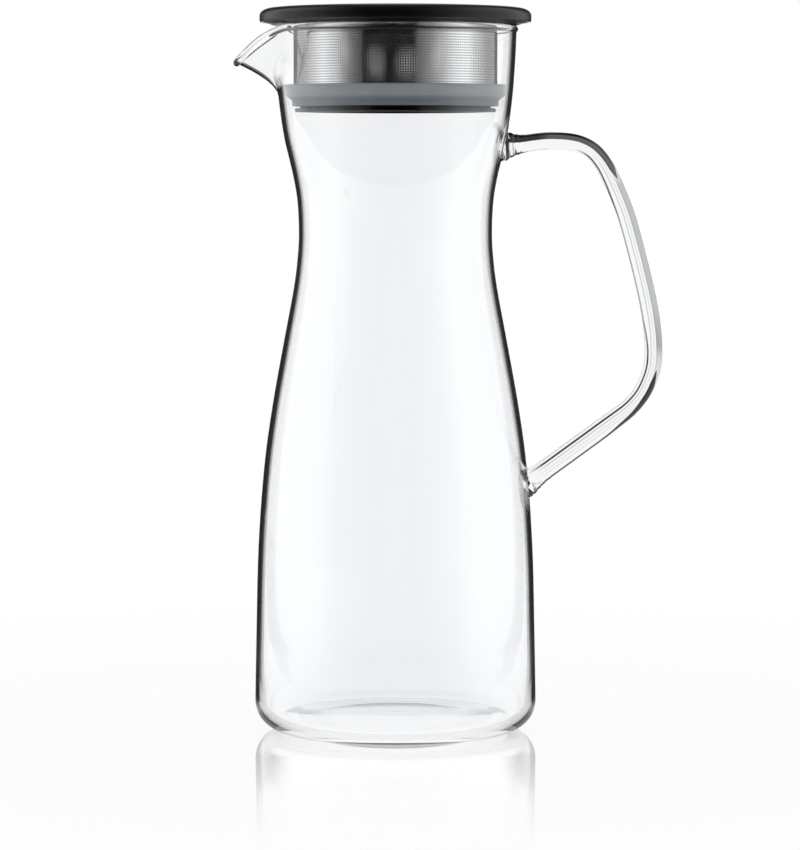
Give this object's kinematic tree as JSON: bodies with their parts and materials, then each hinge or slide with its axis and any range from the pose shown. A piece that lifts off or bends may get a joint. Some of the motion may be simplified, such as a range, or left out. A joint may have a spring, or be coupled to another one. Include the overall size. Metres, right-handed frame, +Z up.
{
  "type": "iced tea jug",
  "caption": "Clear glass carafe jug with a pulled V spout, a bent glass rod handle and a flat black lift-off lid that carries a perforated steel strainer and a silicone gasket.",
  "frame": {"origin": "on the plane that the jug stands on, under the middle of the object's box; the jug's own axis is at X = -19.96 mm", "axes": "+Z up along the jug's axis, spout towards -X, handle towards +X, +Y across"},
  "size_m": [0.1664, 0.1084, 0.2786],
  "materials": {
    "glass": "clear, fire-polished borosilicate",
    "black_plastic": "satin, finely eroded moulding",
    "steel": "bright rolled sheet with a fine square pattern of round holes",
    "silicone": "translucent smoke grey, satin"
  },
  "bodies": {
    "jug": {"glass_body": "glass", "glass_handle": "glass"},
    "lid": {"lid_top": "black_plastic", "lid_underplate": "black_plastic", "strainer_band": "steel", "strainer_ring": "black_plastic", "seal_gasket": "silicone"}
  },
  "joints": [
    {"name": "lid_lift", "type": "slide", "parent": "jug", "child": "lid", "axis": [0, 0, 1], "range_m": [0, 0.06]}
  ]
}
